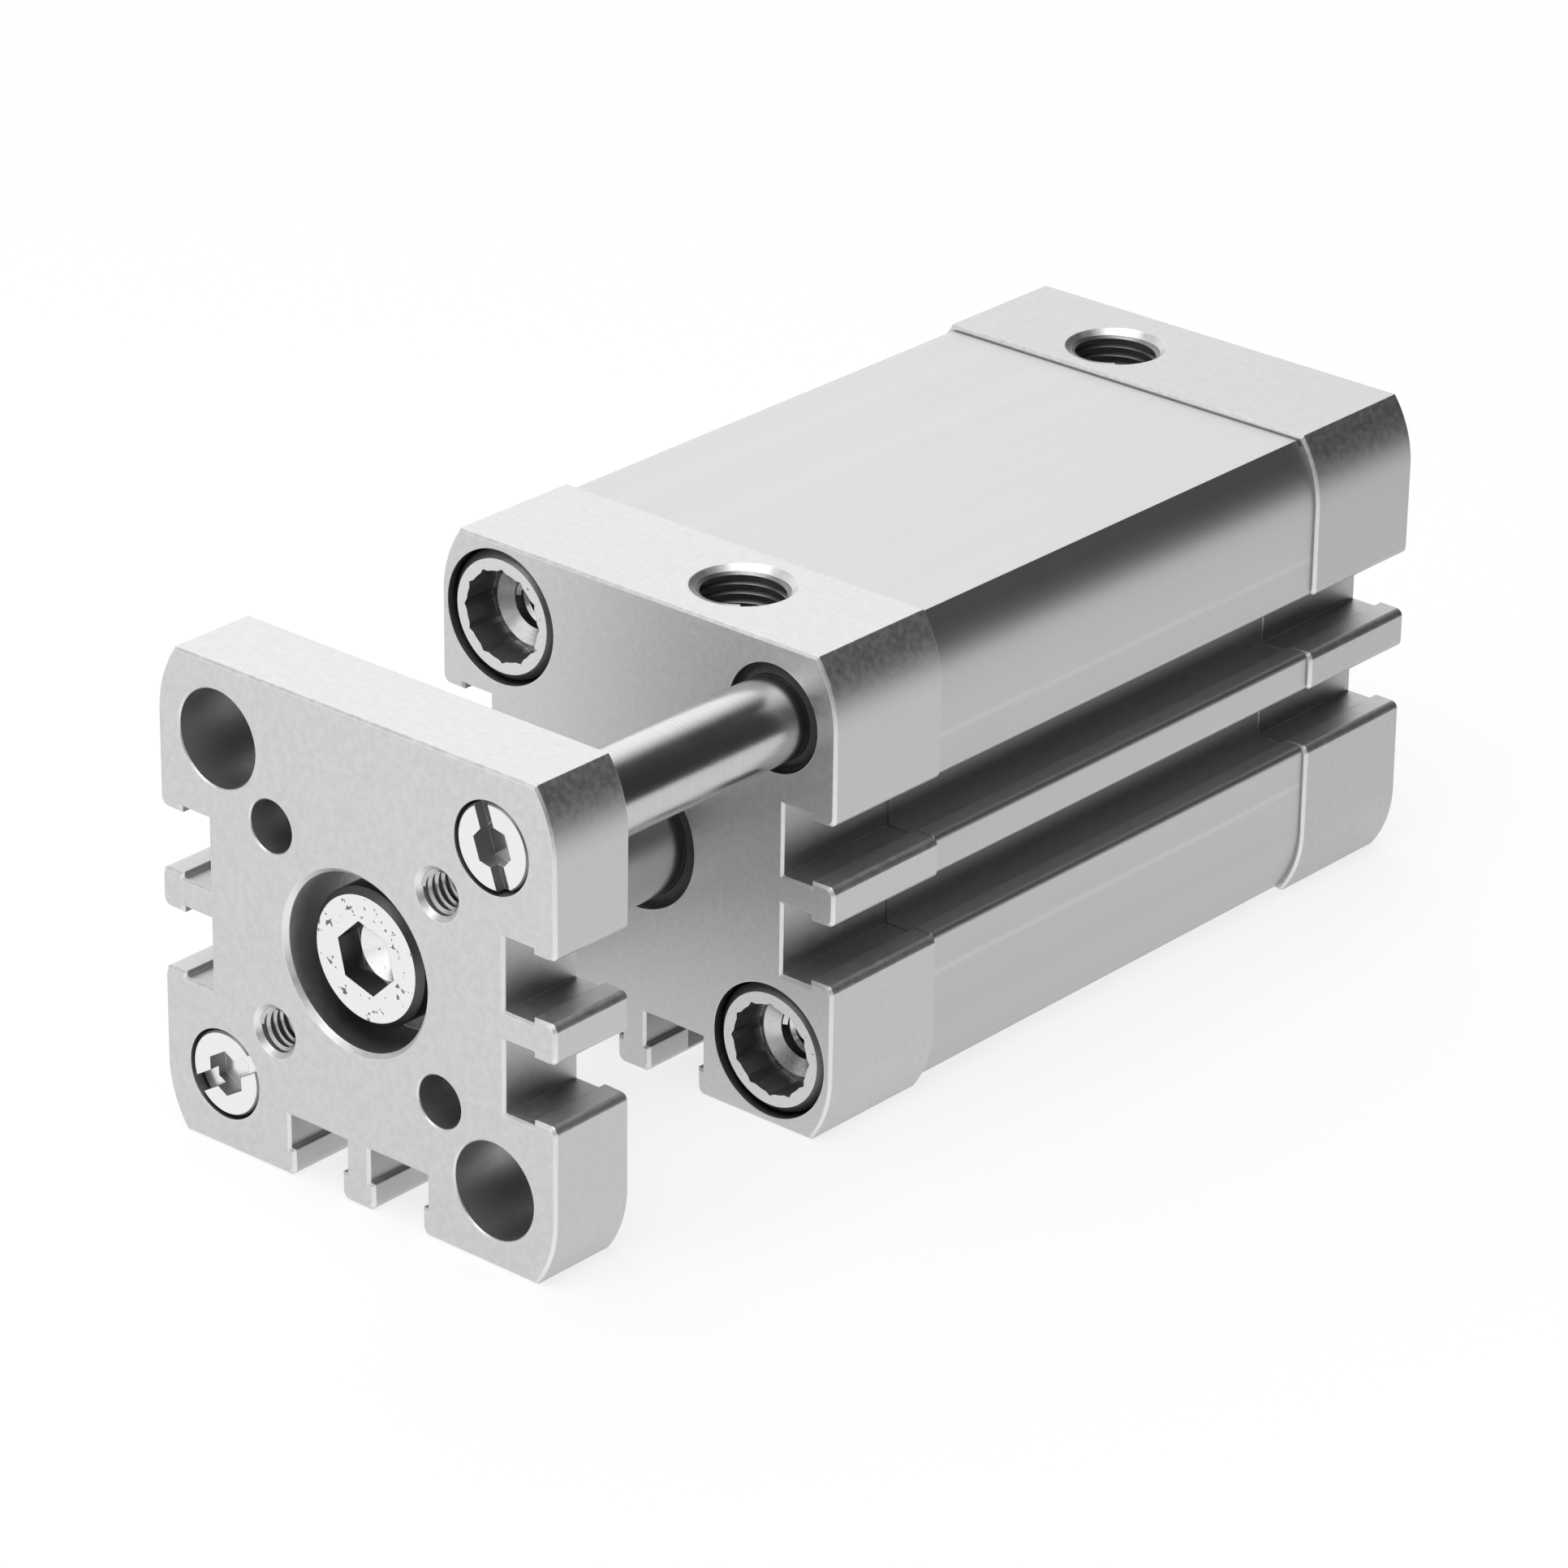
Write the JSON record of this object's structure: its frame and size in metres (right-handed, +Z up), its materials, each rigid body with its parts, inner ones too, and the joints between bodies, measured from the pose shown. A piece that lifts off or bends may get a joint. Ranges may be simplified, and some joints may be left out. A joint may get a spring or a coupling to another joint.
{
  "type": "guided pneumatic cylinder",
  "caption": "Compact pneumatic cylinder with a square slotted body, two air ports on top and a square yoke plate on a piston rod and two guide rods that slide out of the front.",
  "frame": {"origin": "centre of the flat rear mounting face, on the piston rod's axis", "axes": "+Y points out of the rear face, the yoke plate faces -Y, +Z is up on the side of the air ports, +X is to the right seen from the front"},
  "size_m": [0.047, 0.1198, 0.047],
  "materials": {
    "barrel_anodised": "smooth clear-anodised extrusion",
    "cap_aluminium": "machined and clear-anodised",
    "piston_aluminium": "turned",
    "ground_rod": "ground and polished",
    "bright_steel": "bright plated",
    "bush_steel": "rolled bearing strip",
    "black_rubber": "matt",
    "wear_plastic": "matt",
    "magnet_iron": "sintered"
  },
  "bodies": {
    "cylinder_body": {"barrel": "barrel_anodised", "bearing_cap": "cap_aluminium", "end_cap": "cap_aluminium", "bearing_cap_screws": "bright_steel", "end_cap_screws": "bright_steel", "rod_bush": "bush_steel", "upper_guide_bush": "bush_steel", "lower_guide_bush": "bush_steel", "rod_wiper": "black_rubber", "upper_guide_wiper": "black_rubber", "lower_guide_wiper": "black_rubber", "front_joint_seal": "black_rubber", "rear_joint_seal": "black_rubber", "front_buffer": "black_rubber", "rear_buffer": "black_rubber"},
    "guided_rod": {"yoke_plate": "cap_aluminium", "yoke_screw": "bright_steel", "piston_rod": "ground_rod", "upper_guide_rod": "ground_rod", "lower_guide_rod": "ground_rod", "guide_rod_screws": "bright_steel", "piston_front_half": "piston_aluminium", "piston_rear_half": "piston_aluminium", "front_piston_seal": "black_rubber", "rear_piston_seal": "black_rubber", "wear_ring": "wear_plastic", "magnet_ring": "magnet_iron", "piston_rod_seal": "black_rubber", "piston_screw": "bright_steel"}
  },
  "joints": [
    {"name": "rod_slide", "type": "slide", "parent": "cylinder_body", "child": "guided_rod", "axis": [0, -1, 0], "range_m": [-0.02, 0.02]}
  ]
}
